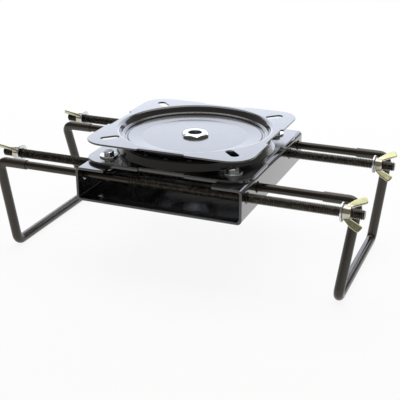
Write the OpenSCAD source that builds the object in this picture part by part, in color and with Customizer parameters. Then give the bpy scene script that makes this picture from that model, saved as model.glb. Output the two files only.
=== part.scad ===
// Clamp-on swivel bracket for a caravan or camper bench seat.
// A folded channel carries a two-plate ball swivel, and two bent rod clamps
// reach down over the edges of the bench, drawn in by wing nuts.
// Z is up, X runs along the clamp rods, and the clamps stand on z = 0.

/* [Seat pattern] */
// spacing of the seat slots, square pattern
slot_spacing = 127; // [112:0.5:142]
// length of a slot, end to end
slot_len = 19; // [16.6:0.1:21.4]
// diameter of the seat's bolts
seat_bolt_d = 7.9; // [6.9:0.1:8.9]
// how much wider a slot is than a seat bolt
slot_clear = 0.6; // [0.2:0.1:1.2]
// sheet left between a seat slot and the rim of the dish
slot_margin = 3.5; // [2:0.1:6]

/* [Swivel plates] */
// height of the swivel from its base to its top face
swivel_h = 22.5; // [20:0.1:28]
// sheet thickness of both swivel plates
plate_t = 1.8; // [1.5:0.05:2]
// corner radius of a plate
plate_corner_r = 24; // [18:1:28]
// depth of the shallow recess in the middle of each side
recess_depth = 2.7; // [1.5:0.1:3.5]
// length of the recess in the middle of each side
recess_len = 47; // [40:1:56]
// height of the base plate's top face above its lip
base_lip_h = 3.5; // [3:0.1:4]
// flat sheet between the foot of the base plate's dome and the lip of a recess
foot_margin = 0.9; // [0.6:0.1:3]
// depth of the seat plate's ball ledge under its top face
ledge_depth = 7.3; // [6.4:0.1:8.2]
// how far the wall of the seat plate's dish leans in
dish_lean = 4; // [3:0.1:4.4]
// depth of the step inside the ledge
step_depth = 1.5; // [1:0.1:2.2]
// depth of the seat plate's floor under its top face
floor_depth = 8.7; // [7.8:0.1:9.6]
// width of the slope between the seat plate's step and its floor
slope_w = 11.5; // [9:0.5:14]

/* [Ball race] */
// diameter of a bearing ball
ball_d = 5.5; // [4.9:0.1:6.1]
// number of balls
ball_count = 20; // [12:1:24]
// gap above and below each ball
race_gap = 0.03; // [0.02:0.01:0.05]
// how far the ball circle lies inside the rim of the dish
race_in = 5.4; // [5.1:0.1:6]
// how far the seat plate's ledge reaches inside the ball circle
ledge_in = 2; // [1.8:0.1:3]
// how far the foot of the dome wall lies outside the ball circle
dome_out = 9.2; // [8.8:0.1:11]
// how far the dome wall leans in
dome_lean = 1.4; // [0.8:0.1:1.8]
// width of the flat land on top of the dome
dome_land = 3.7; // [3.4:0.1:4.2]
// height of the dome above the ball groove
dome_rise = 4.2; // [3.8:0.1:4.6]
// height of the cage shelf above the ball groove
shelf_rise = 1.1; // [0.9:0.1:1.3]
// width of the cage shelf
shelf_w = 8.1; // [6.6:0.1:10]
// how far the web lies below the ball groove
web_drop = 1.4; // [1:0.1:2]
// thickness of the ball cage
cage_t = 1.4; // [1:0.1:1.6]
// gap above and below the ball cage
cage_gap = 0.3; // [0.2:0.05:0.4]
// gap between a ball and its pocket in the cage
pocket_gap = 0.1; // [0.05:0.05:0.15]
// how far the cage ring reaches outside the ball circle
cage_out = 1.9; // [1.6:0.1:2.1]
// how far the cage ring reaches inside the ball circle
cage_in = 7; // [5:0.5:8]

/* [Centre pivot] */
// diameter of the hollow pivot's shank
pivot_d = 19; // [17:0.5:21.5]
// bore through the pivot
pivot_bore_d = 14; // [10:0.5:16]
// width of the pivot's hexagon across its flats
pivot_af = 25.4; // [22.4:0.2:28.4]
// height of the pivot's head
pivot_head_h = 3; // [2.5:0.1:4]
// height of the lock nut under the swivel
pivot_nut_h = 5; // [4:0.5:6]
// length of pivot showing below its nut
pivot_tail = 1.5; // [0.5:0.1:2]
// running gap between the pivot and a plate, on the radius
pivot_gap = 0.08; // [0.05:0.01:0.1]
// thickness of the thrust washer between the plates
thrust_t = 1.5; // [1.2:0.1:1.8]
// outside diameter of the thrust washer
thrust_d = 40; // [34:1:46]
// sheet left round the thrust washer on the base plate's boss
boss_margin = 3; // [1:0.5:5]
// gap that lets the seat plate turn over the washer and under the head
thrust_gap = 0.05; // [0.03:0.01:0.1]

/* [Fasteners] */
// diameter of a mounting bolt
bolt_d = 6; // [5:0.1:7.5]
// how far a bolt sits inside the outer end of its slot
bolt_in = 4.7; // [4:0.1:5.4]
// clearance of the bolt holes and washers, on the diameter
bolt_clear = 0.6; // [0.4:0.1:1]
// width of a bolt head or nut across its flats
bolt_af = 10; // [9:0.1:12]
// height of a bolt head
bolt_head_h = 4; // [3.5:0.1:5]
// height of a nut
nut_h = 5; // [4.4:0.1:5.6]
// length of bolt showing below its nut
bolt_tail = 2; // [1:0.5:3]
// diameter of the large washers under the bolt heads
big_washer_d = 18; // [16:0.5:20]
// diameter of the washers under the flanges
under_washer_d = 16; // [14:0.5:18]
// thickness of every flat washer
washer_t = 1.6; // [1.2:0.1:2]
// gap between a threaded part and its bolt, on the radius
thread_gap = 0.05; // [0.03:0.01:0.08]

/* [Folded bracket] */
// depth of the channel, front to back
bracket_d = 192; // [178:1:230]
// height of the channel
bracket_h = 34; // [30:0.5:42]
// sheet thickness of the channel
bracket_t = 2.5; // [2:0.1:3]
// outside radius of the folded corners
bracket_bend_r = 4.5; // [3.5:0.1:6]
// gap between the washers under the flanges and the channel's walls
wall_gap = 9.8; // [6:0.2:16]
// how far each top flange reaches past those washers
flange_margin = 1.7; // [1:0.1:8]
// how much wider the rod holes are than the rods' thread
rod_hole_clear = 1.8; // [1.5:0.1:3]
// diameter of the two hanging holes in the floor
hang_hole_d = 5; // [4:0.5:7]
// how far the hanging holes are from the side walls
hang_in_x = 19; // [12:1:30]
// how far the hanging holes are from the front and back edges
hang_in_y = 13; // [8:1:20]

/* [Clamp rods] */
// height of the rods above the channel's underside
rod_above = 22.5; // [18:0.5:24]
// how far the outer rods lie outside the mounting bolts
rod_out = 16.8; // [15:0.1:18]
// how far the inner rods lie inside the mounting bolts
rod_in = 12.7; // [11.5:0.1:14]
// diameter of the smooth part of a rod
shank_d = 8.3; // [7.4:0.1:9]
// outside diameter of the rolled thread
thread_d = 9.4; // [8.4:0.1:10]
// length of thread on each arm
thread_len = 230; // [200:5:258]
// where the tip of each arm ends, from the middle
rod_tip_x = 194; // [172:1:218]
// chamfer on the tip of each arm
tip_chamfer = 0.9; // [0.5:0.1:1.5]
// where the arm and leg centre lines cross, from the middle
leg_x = 181.5; // [160:0.5:203]
// drop from the arms to the crossbar
leg_drop = 90.9; // [80:0.1:102]
// how far the legs lean in towards the bench, in degrees
leg_lean = 5.7; // [0:0.1:10]
// half the length of each crossbar, which is centred under the channel
crossbar_half = 73.5; // [65:0.5:82]
// centre line radius of every bend
rod_bend_r = 8; // [7:0.5:12]
// how much thicker the rod and its sleeve are in a bend, on the radius
bend_swell = 0.03; // [0.02:0.01:0.05]
// how far a straight run reaches into a bend
bend_lap = 0.4; // [0.3:0.1:0.6]
// wall of the vinyl sleeve
sleeve_t = 0.8; // [0.65:0.05:1]
// gap between a rod and its sleeve, on the radius
sleeve_gap = 0.02; // [0.02:0.01:0.05]
// length of sleeve on each arm, from where arm and leg cross
sleeve_arm = 32.5; // [25:0.5:41]

/* [Wing nuts] */
// length of each arm from its washer to its tip
tip_show = 21; // [16:0.5:40]
// diameter of a rod washer
rod_washer_d = 18; // [16:0.5:20]
// how much wider a rod washer's hole is than the thread
rod_washer_clear = 1; // [0.4:0.1:1.4]
// gap between a washer and its wing nut
nut_gap = 0.05; // [0.03:0.01:0.1]
// diameter of the wing nut's hub at its base
hub_d = 14; // [12.4:0.2:15.6]
// length of the hub
hub_h = 7.5; // [6.6:0.1:8.4]
// how much the hub narrows towards the wings, on the radius
hub_taper = 0.7; // [0.3:0.1:1]
// thickness of a wing
wing_t = 2; // [1.7:0.1:2.5]
// radius that the wing tips reach
wing_r = 17.4; // [15.4:0.2:19.4]
// how far the wing tips reach past the washer
wing_reach = 20; // [17.8:0.1:22.2]
// length of a wing's slanted end
wing_end = 7; // [6.2:0.1:7.8]
// radius of a wing's corners
wing_corner_r = 2; // [1:0.1:2.5]
// how far the two right-hand wing nuts are turned from upright, in degrees
right_wing_turn = -49; // [-90:1:90]
// how far the two left-hand wing nuts are turned from upright, in degrees
left_wing_turn = -50; // [-90:1:90]

/* [Hidden] */
$fn = 96;
hex_scale = 1 / cos(30);

// across the plates: the slots place the rim, the rim places the ball circle, and the ball circle
// places the dome, whose foot places the plate's edge, the bolts and the channel
slot_w = seat_bolt_d + slot_clear;
slot_r = slot_spacing / 2 * sqrt(2);
rim_r = slot_r - slot_len / 2 - slot_margin;
race_r = rim_r - race_in;
dome_foot_r = race_r + dome_out;
ring_r = dome_foot_r + foot_margin;
plate_half = ring_r + plate_t + recess_depth;
base_slot_r = ring_r + slot_len / 2;
bolt_r = base_slot_r + (slot_len - slot_w) / 2 - bolt_in;
bolt_xy = bolt_r / sqrt(2);
flange_x = bolt_xy - under_washer_d / 2 - flange_margin;
corner_x = bolt_xy + under_washer_d / 2 + wall_gap + bracket_t;
rod_y_inner = bolt_xy - rod_in;
rod_y_outer = bolt_xy + rod_out;

// inside the swivel
pivot_hole_r = pivot_d / 2 + pivot_gap;
boss_r = thrust_d / 2 + boss_margin;
ledge_end_r = race_r - ledge_in;
dome_top_r = dome_foot_r - dome_lean;
groove_half = 0.4 * ball_d;
shelf_start_r = race_r - 0.6 * ball_d;
shelf_end_r = shelf_start_r - shelf_w;
ball_z = swivel_h - ledge_depth - plate_t - race_gap - ball_d / 2;
race_floor = ball_z - ball_d / 2 - race_gap;
dome_z = race_floor + dome_rise;
shelf_z = race_floor + shelf_rise;
web_z = race_floor - web_drop;
cage_z = shelf_z + cage_gap;
floor_z = swivel_h - floor_depth;
boss_z = floor_z - plate_t - thrust_t - thrust_gap;

// up from the surface that the clamps stand on
sleeve_d = shank_d + 2 * sleeve_t;
rod_z = leg_drop + sleeve_d / 2;
bracket_z = rod_z - rod_above;
base_z = bracket_z + bracket_h;
seat_z = base_z + swivel_h;

// along the clamps
washer_x = rod_tip_x - tip_show;
leg_foot_x = leg_x - leg_drop * tan(leg_lean);

// helpers for a sheet that is pressed to a rounded profile
function unit(v) = v / norm(v);
function left_of(v) = [-v[1], v[0]];
function cross2(a, b) = a[0] * b[1] - a[1] * b[0];
function turn_by(v, a) = [v[0] * cos(a) - v[1] * sin(a), v[0] * sin(a) + v[1] * cos(a)];
function dir_in(p, i) = i > 0 ? unit(p[i] - p[i - 1]) : unit(p[1] - p[0]);
function dir_out(p, i) = i < len(p) - 1 ? unit(p[i + 1] - p[i]) : dir_in(p, i);
function bend_at(p, i) = left_of(dir_in(p, i)) + left_of(dir_out(p, i));
function turns_left(p, i) = cross2(dir_in(p, i), dir_out(p, i)) > 0;
function shifted(p, t) =
    [for (i = [0 : len(p) - 1]) p[i] + bend_at(p, i) * 2 * t / (bend_at(p, i) * bend_at(p, i))];
function shifted_r(p, r, t) =
    [for (i = [0 : len(p) - 1]) r[i] == 0 ? 0 : turns_left(p, i) ? max(r[i] - t, 0.05) : r[i] + t];
function corner_arc(p, r, a, b, n) =
    let (turn = acos(min(1, a * b)), side = sign(cross2(a, b)))
    let (start = p - a * r * tan(turn / 2), mid = start + left_of(a) * r * side)
    [for (k = [0 : n]) mid + turn_by(start - mid, side * turn * k / n)];
function rounded_at(p, r, i) = r[i] == 0 ? [p[i]] : corner_arc(p[i], r[i], dir_in(p, i), dir_out(p, i), 6);
function rounded(p, r) = [for (i = [0 : len(p) - 1]) each rounded_at(p, r, i)];
function reversed(v) = [for (i = [len(v) - 1 : -1 : 0]) v[i]];
function sheet_profile(p, r, t) = concat(rounded(p, r), reversed(rounded(shifted(p, t), shifted_r(p, r, t))));

// flat shapes
module rounded_square(half_x, half_y, r) {
    square([2 * half_x, 2 * (half_y - r)], center = true);
    square([2 * (half_x - r), 2 * half_y], center = true);
    for (sx = [-1, 1]) {
        for (sy = [-1, 1]) {
            translate([sx * (half_x - r), sy * (half_y - r)]) circle(r = r);
        }
    }
}

module plate_outline(inset) {
    difference() {
        rounded_square(plate_half - inset, plate_half - inset, plate_corner_r - inset);
        for (a = [0 : 90 : 270]) {
            rotate([0, 0, a]) translate([0, recess_depth + inset - 1.5 * plate_half])
                square([recess_len + 2 * inset, plate_half], center = true);
        }
    }
}

module slot_shape() {
    square([slot_len - slot_w, slot_w], center = true);
    for (s = [-1, 1]) {
        translate([s * (slot_len - slot_w) / 2, 0]) circle(d = slot_w);
    }
}

module at_slots(r) {
    for (a = [45 : 90 : 315]) {
        rotate([0, 0, a]) translate([r, 0, 0]) children();
    }
}

module at_bolts() {
    for (sx = [-1, 1]) {
        for (sy = [-1, 1]) {
            translate([sx * bolt_xy, sy * bolt_xy, 0]) children();
        }
    }
}

// hexagon with its corners turned down at the top, and at the bottom too where it is a nut
module hexagon(af, h, both_ends) {
    tip_r = 0.48 * af - 1 / tan(30);
    foot_r = tip_r + (h + 2) / tan(30);
    intersection() {
        cylinder(d = af * hex_scale, h = h, $fn = 6);
        translate([0, 0, -1]) cylinder(r1 = foot_r, r2 = tip_r, h = h + 2);
        if (both_ends) {
            translate([0, 0, -1]) cylinder(r1 = tip_r, r2 = foot_r, h = h + 2);
        }
    }
}

module flat_ring(outer_d, inner_d, h) {
    difference() {
        cylinder(d = outer_d, h = h);
        translate([0, 0, -1]) cylinder(d = inner_d, h = h + 2);
    }
}

// folded channel
module bracket_section() {
    difference() {
        rounded_square(corner_x, bracket_h / 2, bracket_bend_r);
        rounded_square(corner_x - bracket_t, bracket_h / 2 - bracket_t, bracket_bend_r - bracket_t);
        translate([0, bracket_h / 2]) square([2 * flange_x, 4 * bracket_t], center = true);
    }
}

module bracket_channel() {
    color("#1b1b1d")
    difference() {
        translate([0, bracket_d / 2, bracket_z + bracket_h / 2]) rotate([90, 0, 0])
            linear_extrude(height = bracket_d) bracket_section();
        for (y = [-rod_y_outer, -rod_y_inner, rod_y_inner, rod_y_outer]) {
            translate([-corner_x - 1, y, rod_z]) rotate([0, 90, 0])
                cylinder(d = thread_d + rod_hole_clear, h = 2 * corner_x + 2);
        }
        translate([0, 0, base_z - 2 * bracket_t]) at_bolts()
            cylinder(d = bolt_d + bolt_clear, h = 3 * bracket_t);
        for (s = [-1, 1]) {
            translate([s * (corner_x - hang_in_x), s * (bracket_d / 2 - hang_in_y), bracket_z - 1])
                cylinder(d = hang_hole_d, h = bracket_t + 2);
        }
    }
}

// swivel plates
// Each press profile runs inwards along the sheet's top face as [radius, height] points.
// The base plate climbs its outer wall, drops into the ball groove, crosses the cage shelf and
// the web, and rises to the boss that carries the thrust washer.
base_path = [[ring_r, base_lip_h], [dome_foot_r, base_lip_h], [dome_top_r, dome_z],
             [dome_top_r - dome_land, dome_z], [race_r + groove_half, race_floor],
             [race_r - groove_half, race_floor], [shelf_start_r, shelf_z], [shelf_end_r, shelf_z],
             [shelf_end_r - 3, web_z], [boss_r + 4, web_z], [boss_r, boss_z], [pivot_hole_r, boss_z]];
base_radii = [0, 0.4, 2.2, 2, ball_d / 2 + 0.1, 1.6, 1.6, 3, 2, 3, 3, 0];
// The seat plate drops from its rim to the ledge over the balls, steps down once more and
// runs on to its flat floor.
seat_path = [[ring_r, 0], [rim_r, 0], [rim_r - dish_lean, -ledge_depth], [ledge_end_r, -ledge_depth],
             [ledge_end_r - step_depth, -ledge_depth - step_depth],
             [ledge_end_r - step_depth - slope_w, -floor_depth], [pivot_hole_r, -floor_depth]];
seat_radii = [0, 4, 2.6, 2, 1.2, 8, 0];

module base_swivel_plate() {
    color("#1b1b1d")
    translate([0, 0, base_z])
    difference() {
        union() {
            difference() {
                linear_extrude(height = base_lip_h) plate_outline(0);
                translate([0, 0, -1]) linear_extrude(height = base_lip_h - plate_t + 1)
                    plate_outline(plate_t);
                translate([0, 0, -1]) cylinder(r = ring_r, h = base_lip_h + 2);
            }
            rotate_extrude() polygon(sheet_profile(base_path, base_radii, plate_t));
        }
        translate([0, 0, -1]) at_slots(base_slot_r) linear_extrude(height = base_lip_h + 2) slot_shape();
    }
}

module seat_swivel_plate() {
    color("#1f1f22")
    translate([0, 0, seat_z])
    difference() {
        union() {
            difference() {
                translate([0, 0, -plate_t]) linear_extrude(height = plate_t) plate_outline(0);
                translate([0, 0, -plate_t - 1]) cylinder(r = ring_r, h = plate_t + 2);
            }
            rotate_extrude() polygon(sheet_profile(seat_path, seat_radii, plate_t));
        }
        translate([0, 0, -plate_t - 1]) at_slots(slot_r) linear_extrude(height = plate_t + 2) slot_shape();
    }
}

// ball race
module at_balls() {
    for (i = [0 : ball_count - 1]) {
        rotate([0, 0, i * 360 / ball_count]) translate([race_r, 0, 0]) children();
    }
}

module bearing_balls() {
    color("#b9bcc2")
    translate([0, 0, base_z + ball_z]) at_balls() sphere(d = ball_d, $fn = 32);
}

module ball_cage() {
    color("#e6e2d3")
    translate([0, 0, base_z + cage_z])
    difference() {
        flat_ring(2 * (race_r + cage_out), 2 * (race_r - cage_in), cage_t);
        translate([0, 0, -1]) at_balls() cylinder(d = ball_d + 2 * pocket_gap, h = cage_t + 2);
    }
}

// centre pivot
module thrust_washer() {
    color("#e6e2d3")
    translate([0, 0, base_z + boss_z]) flat_ring(thrust_d, 2 * pivot_hole_r + 2 * pivot_gap, thrust_t);
}

module pivot_bolt() {
    shank_top = floor_z + thrust_gap;
    shank_end = boss_z - plate_t - pivot_nut_h - pivot_tail;
    color("#c9ccd1")
    translate([0, 0, base_z])
    difference() {
        union() {
            translate([0, 0, shank_top]) hexagon(pivot_af, pivot_head_h, false);
            translate([0, 0, shank_end]) cylinder(d = pivot_d, h = shank_top - shank_end);
        }
        translate([0, 0, shank_end - 1]) cylinder(d = pivot_bore_d, h = swivel_h);
    }
}

module pivot_nut() {
    color("#c9ccd1")
    translate([0, 0, base_z + boss_z - plate_t - pivot_nut_h])
    difference() {
        hexagon(pivot_af, pivot_nut_h, true);
        translate([0, 0, -1]) cylinder(d = pivot_d + 2 * thread_gap, h = pivot_nut_h + 2);
    }
}

// bolts that hold the swivel to the channel
head_z = base_z + base_lip_h + washer_t;
nut_z = base_z - bracket_t - washer_t - nut_h;

module mounting_bolts() {
    color("#c9ccd1")
    at_bolts() {
        translate([0, 0, head_z]) hexagon(bolt_af, bolt_head_h, false);
        translate([0, 0, nut_z - bolt_tail]) cylinder(d = bolt_d, h = head_z - nut_z + bolt_tail);
    }
}

module mounting_washers() {
    color("#c9ccd1")
    translate([0, 0, head_z - washer_t]) at_bolts() flat_ring(big_washer_d, bolt_d + bolt_clear, washer_t);
}

module under_washers() {
    color("#c9ccd1")
    translate([0, 0, nut_z + nut_h]) at_bolts() flat_ring(under_washer_d, bolt_d + bolt_clear, washer_t);
}

module mounting_nuts() {
    color("#c9ccd1")
    translate([0, 0, nut_z]) at_bolts()
    difference() {
        hexagon(bolt_af, nut_h, true);
        translate([0, 0, -1]) cylinder(d = bolt_d + 2 * thread_gap, h = nut_h + 2);
    }
}

// bent rod clamps: straight runs end inside bends that are a hair thicker, as a cold bend is
function clamp_corners(arm_end) = [[arm_end, -rod_y_outer, rod_z], [-leg_x, -rod_y_outer, rod_z],
                                   [-leg_foot_x, -crossbar_half, sleeve_d / 2],
                                   [-leg_foot_x, crossbar_half, sleeve_d / 2],
                                   [-leg_x, rod_y_inner, rod_z], [arm_end, rod_y_inner, rod_z]];
function turn_at(p, i) = acos(dir_in(p, i) * dir_out(p, i));
function bend_start(p, i) = i == 0 || i == len(p) - 1 ? 0 : rod_bend_r * tan(turn_at(p, i) / 2);
function run_end(p, i) = max(0, bend_start(p, i) - bend_lap);

module rod_bend(p, i, r) {
    heading = dir_in(p, i);
    axis = unit(cross(heading, dir_out(p, i)));
    inward = cross(axis, heading);
    middle = p[i] - heading * bend_start(p, i) + inward * rod_bend_r;
    multmatrix([for (k = [0 : 2]) [-inward[k], heading[k], axis[k], middle[k]]])
        rotate_extrude(angle = turn_at(p, i)) translate([rod_bend_r, 0]) circle(r = r + bend_swell);
}

module rod_run(from, to, r) {
    way = to - from;
    translate(from) rotate([0, acos(way[2] / norm(way)), atan2(way[1], way[0])])
        cylinder(r = r, h = norm(way));
}

module clamp_path(r, arm_end) {
    p = clamp_corners(arm_end);
    for (i = [0 : 4]) {
        rod_run(p[i] + dir_out(p, i) * run_end(p, i), p[i + 1] - dir_out(p, i) * run_end(p, i + 1), r);
    }
    for (i = [1 : 4]) {
        rod_bend(p, i, r);
    }
}

module clamp_rod() {
    thread_run = thread_len - tip_chamfer;
    clamp_path(shank_d / 2, rod_tip_x - 2 * tip_chamfer);
    for (y = [-rod_y_outer, rod_y_inner]) {
        translate([rod_tip_x - thread_len, y, rod_z]) rotate([0, 90, 0])
            cylinder(d = thread_d, h = thread_run);
        translate([rod_tip_x - tip_chamfer, y, rod_z]) rotate([0, 90, 0])
            cylinder(r1 = thread_d / 2, r2 = thread_d / 2 - tip_chamfer, h = tip_chamfer);
    }
}

module clamp_sleeve() {
    difference() {
        clamp_path(sleeve_d / 2, sleeve_arm - leg_x);
        clamp_path(shank_d / 2 + sleeve_gap, sleeve_arm - leg_x + 2);
    }
}

module left_clamp_rod() {
    color("#242427") clamp_rod();
}

module left_clamp_sleeve() {
    color("#141416") clamp_sleeve();
}

module right_clamp_rod() {
    color("#242427") rotate([0, 0, 180]) clamp_rod();
}

module right_clamp_sleeve() {
    color("#141416") rotate([0, 0, 180]) clamp_sleeve();
}

// rod washers and wing nuts
module rod_washer(y) {
    color("#c9ccd1")
    translate([washer_x, y, rod_z]) rotate([0, 90, 0])
        flat_ring(rod_washer_d, thread_d + rod_washer_clear, washer_t);
}

// one wing from hub to tip as [along the rod, outwards], with its end cut on a slant
hub_r = hub_d / 2;
wing_far = [wing_reach - 1.75 * wing_corner_r, wing_r + 0.4 * wing_corner_r];
wing_near = wing_far + wing_end * [cos(60), -sin(60)];
wing_shoulder = [0.48 * wing_far[0], 0.74 * wing_far[1]];
wing_path = [[0.04 * hub_h, 0.7 * hub_r], [0.12 * hub_h, 0.95 * hub_r], wing_shoulder, wing_far, wing_near,
             [0.96 * hub_h, 0.8 * hub_r], [0.96 * hub_h, 0.7 * hub_r]];
wing_radii = [0, 0, 3 * wing_corner_r, wing_corner_r, 0.75 * wing_corner_r, 0, 0];

module wing_nut_at(y, wing_turn) {
    color("#d9cf9a")
    translate([washer_x + washer_t + nut_gap, y, rod_z]) rotate([wing_turn, 0, 0])
    difference() {
        union() {
            rotate([0, 90, 0]) cylinder(r1 = hub_r, r2 = hub_r - hub_taper, h = hub_h);
            for (a = [0, 180]) {
                rotate([a, 0, 0]) translate([0, wing_t / 2, 0]) rotate([90, 0, 0])
                    linear_extrude(height = wing_t) polygon(rounded(wing_path, wing_radii));
            }
        }
        translate([-1, 0, 0]) rotate([0, 90, 0]) cylinder(r = thread_d / 2 + thread_gap, h = hub_h + 2);
    }
}

module washer_front_right() {
    rod_washer(-rod_y_outer);
}

module washer_rear_right() {
    rod_washer(rod_y_inner);
}

module washer_front_left() {
    rotate([0, 0, 180]) rod_washer(rod_y_inner);
}

module washer_rear_left() {
    rotate([0, 0, 180]) rod_washer(-rod_y_outer);
}

module wing_nut_front_right() {
    wing_nut_at(-rod_y_outer, right_wing_turn);
}

module wing_nut_rear_right() {
    wing_nut_at(rod_y_inner, right_wing_turn);
}

module wing_nut_front_left() {
    rotate([0, 0, 180]) wing_nut_at(rod_y_inner, left_wing_turn);
}

module wing_nut_rear_left() {
    rotate([0, 0, 180]) wing_nut_at(-rod_y_outer, left_wing_turn);
}

bracket_channel();
base_swivel_plate();
seat_swivel_plate();
bearing_balls();
ball_cage();
thrust_washer();
pivot_bolt();
pivot_nut();
mounting_bolts();
mounting_washers();
under_washers();
mounting_nuts();
left_clamp_rod();
left_clamp_sleeve();
right_clamp_rod();
right_clamp_sleeve();
washer_front_right();
washer_rear_right();
washer_front_left();
washer_rear_left();
wing_nut_front_right();
wing_nut_rear_right();
wing_nut_front_left();
wing_nut_rear_left();
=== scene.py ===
import math
import bmesh
import bpy
from mathutils import Matrix, Vector


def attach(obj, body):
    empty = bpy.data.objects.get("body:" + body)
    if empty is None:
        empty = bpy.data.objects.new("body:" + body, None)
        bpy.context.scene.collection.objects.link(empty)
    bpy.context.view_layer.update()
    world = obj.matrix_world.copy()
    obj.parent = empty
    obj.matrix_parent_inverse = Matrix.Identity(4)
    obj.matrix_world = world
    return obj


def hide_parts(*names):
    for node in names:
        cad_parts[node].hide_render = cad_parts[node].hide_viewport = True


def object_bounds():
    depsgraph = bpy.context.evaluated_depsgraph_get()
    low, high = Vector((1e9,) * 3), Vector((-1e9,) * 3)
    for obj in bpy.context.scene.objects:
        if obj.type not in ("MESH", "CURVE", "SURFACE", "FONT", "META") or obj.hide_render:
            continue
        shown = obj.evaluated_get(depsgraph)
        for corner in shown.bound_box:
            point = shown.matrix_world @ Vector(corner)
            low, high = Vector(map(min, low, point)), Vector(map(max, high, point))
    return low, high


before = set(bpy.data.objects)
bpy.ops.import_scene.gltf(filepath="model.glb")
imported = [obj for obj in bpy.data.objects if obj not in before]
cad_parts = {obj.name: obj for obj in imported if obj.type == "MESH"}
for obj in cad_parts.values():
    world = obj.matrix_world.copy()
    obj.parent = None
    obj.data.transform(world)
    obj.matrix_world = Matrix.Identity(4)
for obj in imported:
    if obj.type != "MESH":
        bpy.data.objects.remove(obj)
cad_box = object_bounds()

# ---- Folded channel ----
# One sheet of 2.5 mm steel, punched flat with its rod, bolt and hanging holes, then folded four
# times into a box that is open along its top. Sprayed with glossy black enamel and baked.
mm = 0.001
channel_sheet = 2.5
channel_depth = 192.0
channel_height = 34.0
channel_top_z = 107.35
channel_corner_x = 85.0
flange_edge_x = 55.0
fold_radius = 4.5
fold_steps = 8
blank_corner_r = 1.2
sheared_edge = 0.45
punched_edge = 0.3
rod_z = 95.85
rod_rows = (52.04, 81.54)
rod_hole = 11.2
bolt_spot = 64.74
bolt_hole = 6.6
hanging_spot = (66.0, 83.0)
hanging_hole = 5.0
small_hole_points = 24
edge_steps = 3


def flat_turn(run_in, run_out):
    """The signed angle from one direction in a plane to the next."""
    return math.atan2(run_in.x * run_out.y - run_in.y * run_out.x, run_in.dot(run_out))


def rounded_loop(corners, radii, hole=False, spacing=None, arc_step=15):
    """A closed outline with rounded corners: x, y and the way into the sheet, at each point."""
    loop = []
    for i, corner in enumerate(corners):
        before, after = Vector(corners[i - 1]), Vector(corners[(i + 1) % len(corners)])
        corner = Vector(corner)
        run_in, run_out = (corner - before).normalized(), (after - corner).normalized()
        turn = flat_turn(run_in, run_out)
        side = math.copysign(1, turn)
        radius = radii[i]
        start = corner - run_in * radius * math.tan(abs(turn) / 2)
        middle = start + Vector((-run_in.y, run_in.x)) * radius * side
        steps = max(2, round(math.degrees(abs(turn)) / arc_step))
        for k in range(steps + 1):
            heading = math.atan2(run_in.y, run_in.x) + turn * k / steps
            left = Vector((-math.sin(heading), math.cos(heading)))
            point = middle - left * radius * side
            inwards = -left if hole else left
            loop.append((point.x, point.y, inwards.x, inwards.y))
    if spacing is None:
        return loop
    filled = []
    for here, there in zip(loop, loop[1:] + loop[:1]):
        count = max(1, round(math.dist(here[:2], there[:2]) / spacing))
        for k in range(count):
            filled.append(tuple(a + (b - a) * k / count for a, b in zip(here, there)))
    return filled


def round_hole(x, y, diameter, points=40):
    """A drilled hole's outline, in the form that rounded_loop gives."""
    loop = []
    for k in range(points):
        out_x, out_y = math.cos(2 * math.pi * k / points), math.sin(2 * math.pi * k / points)
        loop.append((x + diameter / 2 * out_x, y + diameter / 2 * out_y, out_x, out_y))
    return loop


def soft_edge(sheet, radius):
    """How a sheet's cut edge rolls over from its top face to its underside: inset and depth."""
    roll = [(radius * (1 - math.sin(a)), radius * (1 - math.cos(a)))
            for a in (math.pi / 2 * k / edge_steps for k in range(edge_steps + 1))]
    return roll + [(inset, sheet - depth) for inset, depth in reversed(roll)]


def skin(mesh, rings, closed=False):
    """Joins rings of points with strips of faces, and the last ring to the first where closed."""
    pairs = list(zip(rings, rings[1:])) + ([(rings[-1], rings[0])] if closed else [])
    for near, far in pairs:
        for i in range(len(near)):
            mesh.faces.new((near[i - 1], near[i], far[i], far[i - 1]))


def flat_blank(cuts):
    """A flat sheet, top face at z = 0, from outlines that each bring how their edge rolls over."""
    mesh = bmesh.new()
    top_rings, under_rings = [], []
    for loop, edge in cuts:
        rings = [[mesh.verts.new((x + inset * ix, y + inset * iy, -depth)) for x, y, ix, iy in loop]
                 for inset, depth in edge]
        skin(mesh, rings)
        top_rings.append(rings[0])
        under_rings.append(rings[-1])
    for face_rings in (top_rings, under_rings):
        edges = [mesh.edges.get((ring[i - 1], ring[i]))
                 for ring in face_rings for i in range(len(ring))]
        bmesh.ops.triangle_fill(mesh, use_beauty=True, edges=edges, normal=(0, 0, 1))
    bmesh.ops.recalc_face_normals(mesh, faces=mesh.faces)
    return mesh


def finished_piece(name, mesh, finish, slot, body, *cad_nodes, sharp=40):
    """Turns a mesh drawn in millimetres into a piece that stands for its CAD nodes."""
    bmesh.ops.recalc_face_normals(mesh, faces=mesh.faces)
    bmesh.ops.scale(mesh, vec=(mm, mm, mm), verts=mesh.verts)
    data = bpy.data.meshes.new(name)
    mesh.to_mesh(data)
    mesh.free()
    data.materials.append(finish)
    data.polygons.foreach_set("use_smooth", [True] * len(data.polygons))
    data.set_sharp_from_angle(angle=math.radians(sharp))
    piece = bpy.data.objects.new(name, data)
    bpy.context.collection.objects.link(piece)
    piece.modifiers.new("even shading", "WEIGHTED_NORMAL").keep_sharp = True
    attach(piece, body)
    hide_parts(*cad_nodes)


def node(tree, kind, inputs, **settings):
    """Adds a shader node; an input that is another node's output is wired to it."""
    made = tree.nodes.new("ShaderNode" + kind)
    for name, value in settings.items():
        setattr(made, name, value)
    for name, value in inputs.items():
        if isinstance(value, bpy.types.NodeSocket):
            tree.links.new(value, made.inputs[name])
        else:
            made.inputs[name].default_value = value
    return made


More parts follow.
